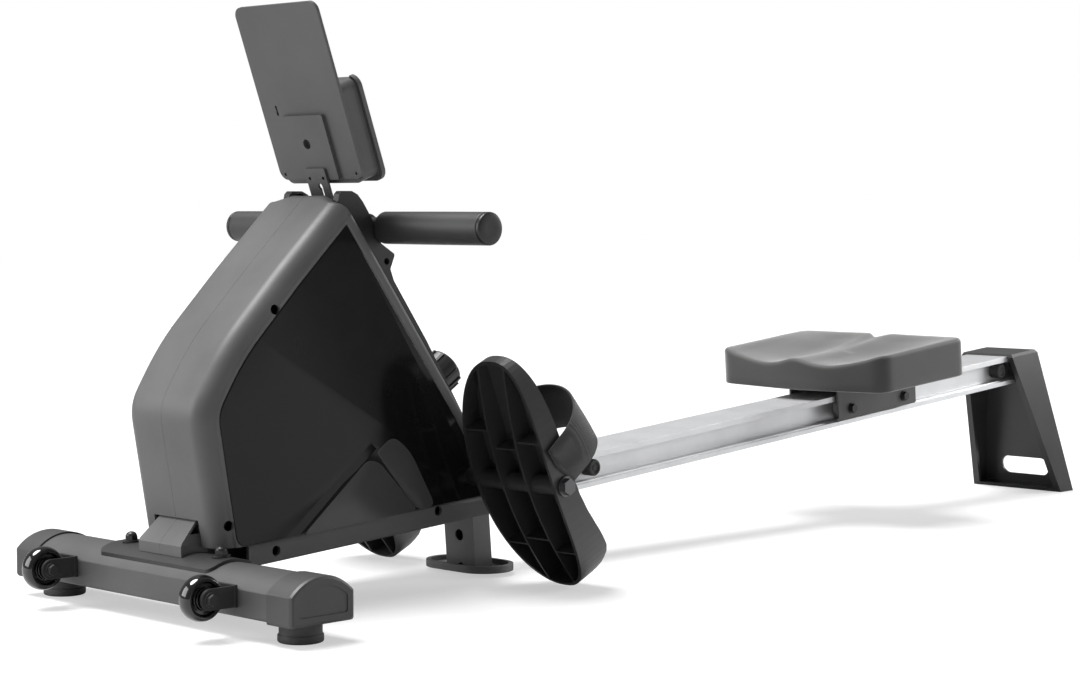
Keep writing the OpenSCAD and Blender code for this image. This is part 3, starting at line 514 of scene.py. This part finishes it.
def casing_shell(side):
    """Half casing: the outside and inside rows joined, with its openings and screw holes cut."""
    rings = [ring(row) for row in outer_rows() + inner_rows()]
    rings.append(rings[0])
    v, f = loft([[at(u, side * y, z) for u, y, z in r] for r in rings])
    ob = make(f"casing_shell_{side_word(side)}", v, f, "casing", None)
    beam_slot = [(30, 30), (450, 30), (450, 125), (30, 89)]
    spine_slot = [(196, 478), (200, 462), (200, 440), (395, 148), (412, 107), (460, 107),
                  (460, 200), (270, 500)]
    cutters = [
        cutter(box_points(-60, 47, 20, 81), side, -100, 100),
        cutter(box_points(-40, 15.5, 20, 111), side, -1, 40.5),
        cutter(beam_slot, side, -30, BEAM + 0.1),
        cutter(spine_slot, side, -1, SPINE + 1),
    ]
    cutters += [cutter(disc(u, z, 5.8), side, 56, 90) for u, z in SCREWS]
    cutters.append(cutter(disc(*AXLE, 14), side, 40, 90))
    cut(ob, cutters)
    ob.data.shade_smooth()
    ob.data.set_sharp_from_angle(angle=math.radians(50))
    ob.data.materials.clear()
    ob.data.materials.append(MATS["casing"])
    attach(ob, "frame")
    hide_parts(f"casing_{side_word(side)}")


# Section of the panel's rim: how far it stands out past the line of the ledge, and its half width.
PANEL_RIM = ((1.0, 70.5), (1.0, 71.0), (0.75, 71.3), (0.3, 71.42), (-0.6, 71.45))
# Outlines in side view of the sunk strip and of the two raised plates.
STRIP = [(96, 82.4), (174, 142.4), (228, 183), (236, 176), (222, 164), (216, 158.5),
         (186, 139), (119, 84)]
FACET = [(124, 84.2), (222, 164), (240, 160), (302, 97.5)]
FACET_EDGE = [(300, 97.8), (244, 162), (236, 172), (262, 190), (290, 168), (330, 100)]


def side_panel(side):
    """Glossy plate with a sunk slanting strip."""
    ledge = [Vector((u, z)) for u, y, z in ring(outer_rows()[-1])]
    n = len(ledge)

    def grown(d):
        tangents = [(ledge[(i + 1) % n] - ledge[i - 1]).normalized() for i in range(n)]
        return [p + Vector((-t.y, t.x)) * d for p, t in zip(ledge, tangents)]

    rings = [[at(p.x, side * y, p.y) for p in grown(d)] for d, y in PANEL_RIM]
    v, f = loft(rings, cap_end=True)
    ob = make(f"gloss_panel_{side_word(side)}", v, f, "gloss_panel", None)
    cut(ob, [cutter(STRIP, side, 70.9, 80)])
    ob.data.materials.clear()
    ob.data.materials.append(MATS["gloss_panel"])
    b = ob.modifiers.new("edge", "BEVEL")
    b.width = 0.0004
    b.segments = 2
    b.limit_method = "ANGLE"
    b.angle_limit = math.radians(30)
    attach(ob, "frame")
    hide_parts(f"side_panel_{side_word(side)}")


def facet(side, name, corners, radius, tilt):
    """Plain raised plate on the panel, its top edge standing out a little more than its foot."""
    pts = rounded(corners, [radius] * len(corners))
    c = sum(pts, Vector((0, 0))) / len(pts)
    foot_z, height = 84, 80
    rings = []
    for inset, y, share in ((0.0, 71.3, 0), (0.0, 71.6, 1), (0.6, 71.8, 1)):
        row = []
        for p in pts:
            q = p + (c - p).normalized() * inset
            lift = share * tilt * (q.y - foot_z) / height
            row.append(at(q.x, side * (y + lift), q.y))
        rings.append(row)
    v, f = loft(rings, cap_end=True)
    ob = make(f"panel_{name}_{side_word(side)}", v, f, "gloss_facet", "frame",
              smooth=False)
    ob.data.shade_smooth()
    ob.data.set_sharp_from_angle(angle=math.radians(25))


# ---------- seat ----------

SEAT_AT = 1224  # along the rail
SEAT_BASE = 14.2  # underside of the foam above the rail's top
SEAT_FRONT, SEAT_DEPTH, SEAT_HALF = -110, 212, 150
RIM_Z, RIM_RISE = 67, 4.5  # the rim's height at the front, and its rise to the rear
CREASE, CREASE_HALF = 3.4, 13  # depth and half width of the crease down the middle
CENTRE = Vector((-8, 0))
# Corners of the seat from above, and their radii: a V-shaped front and a notched rear.
SEAT_CORNERS = [(-102, 150), (-120, 0), (-102, -150), (102, -150), (102, -19), (87, 0), (102, 19),
                (102, 150)]
SEAT_RADII = [24, 40, 24, 20, 4, 5, 4, 20]
RIM_POINTS = 240
# Share of the hollow's depth by the distance from the middle, and its depth from front to rear.
BOWL = [(0, 0.46), (32, 0.86), (58, 1.0), (88, 0.78), (118, 0.40), (146, 0.0)]
SCOOP = [(0, 16), (0.3, 19.5), (0.55, 17.5), (0.8, 8.5), (1.0, 1.0)]


def curve_at(points, x):
    """Smooth value at x of a curve through (x, value) points, level at both its ends."""
    slopes = [0.0] + [(c[1] - a[1]) / (c[0] - a[0]) for a, c in zip(points, points[2:])] + [0.0]
    for i, ((x0, v0), (x1, v1)) in enumerate(zip(points, points[1:])):
        if x <= x1:
            h = x1 - x0
            t = (x - x0) / h
            bend = h * t * (1 - t) * (slopes[i] * (1 - t) - slopes[i + 1] * t)
            return v0 + (v1 - v0) * smooth(t) + bend
    return points[-1][1]


def seat_height(x, y):
    """Top of the moulded seat above the rail, x along its depth and y across."""
    t = (x - SEAT_FRONT) / SEAT_DEPTH
    a = abs(y)
    rise = RIM_RISE * smooth(t) * (1 - 0.45 * (a / SEAT_HALF) ** 2)
    crease = CREASE * math.exp(-(y / CREASE_HALF) ** 2) * smooth(t)
    hollow = curve_at(SCOOP, max(0, min(1, t))) * curve_at(BOWL, min(SEAT_HALF, a))
    return RIM_Z + rise - crease - hollow


def evenly(points, count):
    """Points spaced evenly along a closed line."""
    loop = points + [points[0]]
    total = sum((b - a).length for a, b in zip(loop, loop[1:]))
    out, want, run = [], 0.0, 0.0
    for a, b in zip(loop, loop[1:]):
        length = (b - a).length
        while want <= run + length and len(out) < count:
            out.append(a + (b - a) * ((want - run) / length if length > 1e-9 else 0))
            want += total / count
        run += length
    return out


def make_seat():
    """Moulded foam seat: two hollows that open to the front and a ridge between them."""
    rim = evenly(rounded(SEAT_CORNERS, SEAT_RADII, 9), RIM_POINTS)
    low_r, top_r = 2.5, 6
    rings = []

    def inward(d):
        n = len(rim)
        tangents = [(rim[(i + 2) % n] - rim[i - 2]).normalized() for i in range(n)]
        return [p + Vector((-t.y, t.x)) * d for p, t in zip(rim, tangents)]

    def put(points, height):
        rings.append([(p.x, p.y, height(p.x, p.y)) for p in points])

    put([p + (CENTRE - p).normalized() * 30 for p in rim], lambda x, y: SEAT_BASE)
    put(inward(5), lambda x, y: SEAT_BASE)
    for t in (0, 45, 90):
        s, c = math.sin(math.radians(t)), math.cos(math.radians(t))
        put(inward(low_r * (1 - s)), lambda x, y: SEAT_BASE + low_r * (1 - c))
    wall_z = SEAT_BASE + low_r
    for h in (0.3, 0.6, 0.85):
        put(inward(0), lambda x, y: wall_z + (seat_height(x, y) - top_r - wall_z) * h)
    for t in (0, 20, 40, 60, 80):
        s, c = math.sin(math.radians(t)), math.cos(math.radians(t))
        put(inward(top_r * (1 - c)), lambda x, y: seat_height(x, y) - top_r * (1 - s))
    edge = inward(5.2)
    for k in range(1, 16):
        put([p + (Vector((CENTRE.x, p.y * 0.12)) - p) * k / 15.5 for p in edge], seat_height)
    v, f = loft(rings, cap_start=True, cap_end=True)
    m = rail_matrix(SEAT_AT)
    pts = [m @ Vector((x / 1000, y / 1000, z / 1000)) for x, y, z in v]
    ob = make("seat_cushion", pts, f, "seat_skin", "seat")
    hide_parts("seat_pad")


# ---------- handle, straps ----------

HANDLE_U, HANDLE_Z = 270, 432.6
BAR_R, GRIP_R = 12.6, 19.0
GRIP_FROM, GRIP_TO = 51.6, 222.3
# Rolled edge of a foam sleeve: drop in radius, and distance from the sleeve's end.
ROLL = ((0.7, 0.0), (0.2, 0.2), (0.0, 0.7))
GRIP_CAP = [(BAR_R, 222.7), (18.4, 222.7), (18.8, 222.9), (GRIP_R, 223.4), (GRIP_R, 225.8),
            (18.7, 227.2), (17.8, 228.3), (16.4, 228.7), (8, 228.4), (0.6, 228.3)]


def turned(name, profile, mat, cap, segments=96):
    """Turned piece about the handle's axis: profile is (radius, y)."""
    turns = [2 * math.pi * i / segments for i in range(segments)]
    rings = [[at(HANDLE_U + r * math.cos(a), y, HANDLE_Z + r * math.sin(a)) for a in turns]
             for r, y in profile]
    v, f = loft(rings, cap_start=cap, cap_end=cap)
    return make(name, v, f, mat, "handle")


def grip(side):
    """Foam sleeve, a little crowned between its rolled ends, with a moulded end cap."""
    crown = [(GRIP_R + 0.12 * math.sin(math.pi * k / 12), 54 + 166 * k / 12) for k in range(13)]
    sleeve = [(BAR_R, GRIP_FROM)] + [(GRIP_R - a, GRIP_FROM + b) for a, b in ROLL] + crown
    sleeve += [(GRIP_R - a, GRIP_TO - b) for a, b in reversed(ROLL)] + [(BAR_R, GRIP_TO)]
    foam = turned(f"foam_grip_{side_word(side)}", [(r, side * y) for r, y in sleeve], "foam", False)
    turned(f"grip_cap_{side_word(side)}", [(r, side * y) for r, y in GRIP_CAP], "black_moulded",
           True)
    if side < 0:
        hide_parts("grips")


def ribbon(name, line, half_w, thick, across):
    """Flat webbing along a line of points, in metres, with slightly rolled edges."""
    n = len(line)
    h, k = thick / 2, half_w
    e = 0.35 * thick
    low = [(-k, -h * 0.4), (-k + e, -h), (-k * 0.5, -h), (0, -h), (k * 0.5, -h), (k - e, -h),
           (k, -h * 0.4)]
    section = low + [(a, -b) for a, b in reversed(low)]
    rings = []
    for i, p in enumerate(line):
        t = (line[min(i + 1, n - 1)] - line[max(i - 1, 0)]).normalized()
        up = t.cross(across).normalized()
        rings.append([p + across * a + up * b for a, b in section])
    v, f = loft(rings, cap_start=True, cap_end=True)
    return make(name, v, f, "webbing", None)


GUIDE = at(212, 0, 422)
GUIDE_R = 0.0098  # out to the middle of the strap, in metres
SPOOL_EXIT = at(199.6, 0, 330)


def pull_strap():
    """Webbing from the spool over the guide roller to the handle's clamp."""
    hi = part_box("pull_strap")[1]
    side = GUIDE - Vector((GUIDE_R, 0, 0))
    top = GUIDE + Vector((0, 0, GUIDE_R))
    clamp = Vector((hi.x, 0, top.z))
    line = [SPOOL_EXIT.lerp(side, i / 9) for i in range(10)]
    for i in range(1, 14):
        a = math.pi - (math.pi / 2) * i / 13
        line.append(GUIDE + Vector((math.cos(a), 0, math.sin(a))) * GUIDE_R)
    line += [top.lerp(clamp, i / 29) for i in range(1, 30)]
    ob = ribbon("pull_strap_web", line, 0.0135, 0.0013, Vector((0, 1, 0)))
    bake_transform(ob)
    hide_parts("pull_strap")


PEDAL_Y = 163
STRAP_LEAN = math.radians(24.6 + 14)  # the foot plate's lean, and the strap's own on it
STRAP_HALF = 68.9  # half the distance between the band's two ends
STRAP_MID = 24  # up the plate to the band's middle
ARCH_X, ARCH_R = 38, 70


def arch(side, angle, extra=0.0):
    """Point of the band's arch over the foot, seen along the plate."""
    a = math.radians(angle)
    return (ARCH_X + (ARCH_R + extra) * math.cos(a), -side * (STRAP_HALF + extra) * math.sin(a))


def foot_band(side, to):
    """Wide band over the foot plate, its ends narrowed and tucked beside the plate."""
    legs = (4, 8, 13, 20, 29)
    line = [(x, side * STRAP_HALF) for x in legs]
    line += [arch(side, a) for a in range(-90, 91, 5)]
    line += [(x, -side * STRAP_HALF) for x in reversed(legs)]
    low = [(-1, -0.5), (-0.985, -1.1), (-0.5, -1.25), (0, -1.25), (0.5, -1.25), (0.985, -1.1),
           (1, -0.5)]
    section = low + [(k, -h) for k, h in reversed(low)]
    n = len(line)
    rings = []
    for i, (x, y) in enumerate(line):
        t = (Vector(line[min(i + 1, n - 1)]) - Vector(line[max(i - 1, 0)])).normalized()
        out = Vector((t.y, -t.x))
        if out.dot(Vector((x - 30, y))) < 0:
            out = -out
        u = i / (n - 1)
        tuck = 15 * smooth((13 - x) / 9)
        half = 31.5 - 3.0 * math.cos(2 * math.pi * u) - tuck
        ring_points = []
        for k, h in section:
            wave = 0.5 * math.sin(7 * u + 2.2 * k)
            q = Vector((x, y)) + out * (h + wave)
            ring_points.append(to(q.x, q.y, STRAP_MID + tuck + half * k))
        rings.append(ring_points)
    v, f = loft(rings, cap_start=True, cap_end=True)
    word = side_word(side)
    ob = make(f"foot_band_{word}", v, f, "webbing", f"pedal_{word}")
    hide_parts(f"foot_strap_{word}")


def foot_flap(side, to):
    """Free end of the band, laid over its outer face and lifting a little at its tip."""
    section = [(-1, 0), (-0.98, -0.9), (0, -1.0), (0.98, -0.9), (1, 0), (0.98, 0.9), (0, 1.0),
               (-0.98, 0.9)]
    rings = []
    for i in range(15):
        t = i / 14
        x, y = arch(side, 4 + 62 * t, 2.7)
        nx, ny = Vector((x - ARCH_X, y)).normalized()
        lift = 1.6 * smooth((t - 0.7) / 0.3)
        half = 30 if t < 0.9 else 30 - 4 * (t - 0.9) / 0.1
        rings.append([to(x + nx * (h + lift), y + ny * (h + lift), STRAP_MID + half * k)
                      for k, h in section])
    v, f = loft(rings, cap_start=True, cap_end=True)
    word = side_word(side)
    make(f"foot_band_flap_{word}", v, f, "webbing", f"pedal_{word}")


def foot_strap(side):
    """Hook-and-loop strap of one foot plate: the band and its free end."""
    base = Matrix.Translation(at(AXLE[0], side * PEDAL_Y, AXLE[1])) \
        @ Matrix.Rotation(-STRAP_LEAN, 4, "Y")

    def to(x, y, z):
        return base @ Vector((x / 1000, y / 1000, z / 1000))

    foot_band(side, to)
    foot_flap(side, to)


for side in (-1, 1):
    casing_shell(side)
    side_panel(side)
    facet(side, "facet", FACET, 12, 0.7)
    facet(side, "facet_edge", FACET_EDGE, 14, 0.25)
    foot_strap(side)
make_seat()
for side in (-1, 1):
    grip(side)
pull_strap()

# ---------- display ----------

# Strokes of a seven-segment zero, in a cell one unit wide and two high.
ZERO = (((0.1, 2), (0.9, 2)), ((1, 1.9), (1, 1.1)), ((1, 0.9), (1, 0.1)), ((0.1, 0), (0.9, 0)),
        ((0, 0.9), (0, 0.1)), ((0, 1.9), (0, 1.1)))
# Counters: number of digits, first digit's y, pitch, z and size.
COUNTERS = ((3, -40, 15, 74, 9), (4, 12, 8, 78, 5), (2, -40, 10, 52, 5.5))
SCREEN_FACE = (36.02, 36.12)  # back and front of the ink, off the console's base line


def display():
    """Dark liquid-crystal digits on the screen: plain counters at zero, and a bar scale."""
    m = Matrix.Translation(at(216.2, 0, 489)) @ Matrix.Rotation(-LEAN, 4, "Y")
    verts, faces = [], []

    def stroke(a, b, w):
        a, b = Vector(a), Vector(b)
        t = (b - a).normalized()
        n = Vector((-t.y, t.x)) * w
        pts = [a, a + t * w + n, b - t * w + n, b, b - t * w - n, a + t * w - n]
        k = len(verts)
        for x in SCREEN_FACE:
            verts.extend(m @ Vector((x / 1000, p.x / 1000, p.y / 1000)) for p in pts)
        faces.append(tuple(range(k + 6, k + 12)))
        faces.append(tuple(range(k + 5, k - 1, -1)))
        for i in range(6):
            faces.append((k + i, k + (i + 1) % 6, k + 6 + (i + 1) % 6, k + 6 + i))

    for count, first, pitch, z, size in COUNTERS:
        for i in range(count):
            y = first + pitch * i
            for (y0, z0), (y1, z1) in ZERO:
                stroke((y + y0 * size, z + z0 * size), (y + y1 * size, z + z1 * size), 0.09 * size)
    for i in range(9):
        stroke((-2 + 4.6 * i, 50), (-2 + 4.6 * i, 52.5 + 1.5 * i), 1.3)
    stroke((-44, 68), (44, 68), 0.3)
    make("screen_digits", verts, faces, "lcd_ink", "frame", smooth=False)


display()

# ---------- studio ----------

SKY_SEEN = 1.0  # strength to the camera: white
SKY_FILL = 0.22  # strength as a light
FLOOR_GLOW = 0.5  # for the camera's rays alone, so the ground reads as white


def make_floor():
    """Pale floor, a little brighter to the camera than its light alone would make it."""
    bm = bmesh.new()
    bmesh.ops.create_grid(bm, x_segments=24, y_segments=24, size=14.0)
    me = bpy.data.meshes.new("floor")
    bm.to_mesh(me)
    bm.free()
    floor = bpy.data.objects.new("floor", me)
    scene.collection.objects.link(floor)
    n = Nodes("floor")
    n.link(n.ramp(n.noise(0.6, 2), (0.52, 0.52, 0.523), (0.54, 0.54, 0.543)),
           n.bsdf.inputs["Base Color"])
    ray = n.new("ShaderNodeLightPath")
    n.bsdf.inputs["Emission Color"].default_value = (1, 1, 1, 1)
    n.link(n.range(ray.outputs["Is Camera Ray"], 0.0, FLOOR_GLOW), n.bsdf.inputs["Emission Strength"])
    n.bsdf.inputs["Roughness"].default_value = 0.55
    n.bsdf.inputs["Specular IOR Level"].default_value = 0.2
    me.materials.append(MATS["floor"])


def make_world():
    """Plain surroundings, one strength to the camera and another as light."""
    world = bpy.data.worlds.new("studio")
    scene.world = world
    world.use_nodes = True
    tree = world.node_tree
    seen = tree.nodes.new("ShaderNodeBackground")
    seen.inputs["Color"].default_value = (1, 1, 1, 1)
    seen.inputs["Strength"].default_value = SKY_SEEN
    fill = tree.nodes["Background"]
    fill.inputs["Color"].default_value = (1, 1, 1, 1)
    fill.inputs["Strength"].default_value = SKY_FILL
    path = tree.nodes.new("ShaderNodeLightPath")
    mix = tree.nodes.new("ShaderNodeMixShader")
    tree.links.new(path.outputs["Is Camera Ray"], mix.inputs["Fac"])
    tree.links.new(fill.outputs["Background"], mix.inputs[1])
    tree.links.new(seen.outputs["Background"], mix.inputs[2])
    tree.links.new(mix.outputs["Shader"], tree.nodes["World Output"].inputs["Surface"])


def place_light(data, loc, target):
    ob = bpy.data.objects.new(data.name, data)
    scene.collection.objects.link(ob)
    ob.location = loc
    ob.rotation_mode = "QUATERNION"
    ob.rotation_quaternion = (Vector(target) - Vector(loc)).to_track_quat("-Z", "Y")


def softbox(name, loc, target, size, size_y, power):
    data = bpy.data.lights.new(name, "AREA")
    data.energy = power
    data.shape = "RECTANGLE"
    data.size = size
    data.size_y = size_y
    place_light(data, loc, target)


def soft_sun(name, loc, strength, angle):
    data = bpy.data.lights.new(name, "SUN")
    data.energy = strength
    data.angle = math.radians(angle)
    place_light(data, loc, (0, 0, 0))


make_floor()
make_world()
soft_sun("key", (-0.16, 0.28, 0.94), 4.5, 34)
softbox("left", (-2.5, 1.2, 1.0), (-0.5, 0, 0.3), 1.6, 1.4, 26)
softbox("right", (2.9, -1.4, 1.2), (0.3, 0, 0.2), 1.3, 1.1, 34)
scene.view_settings.view_transform = "Standard"
scene.view_settings.look = "None"
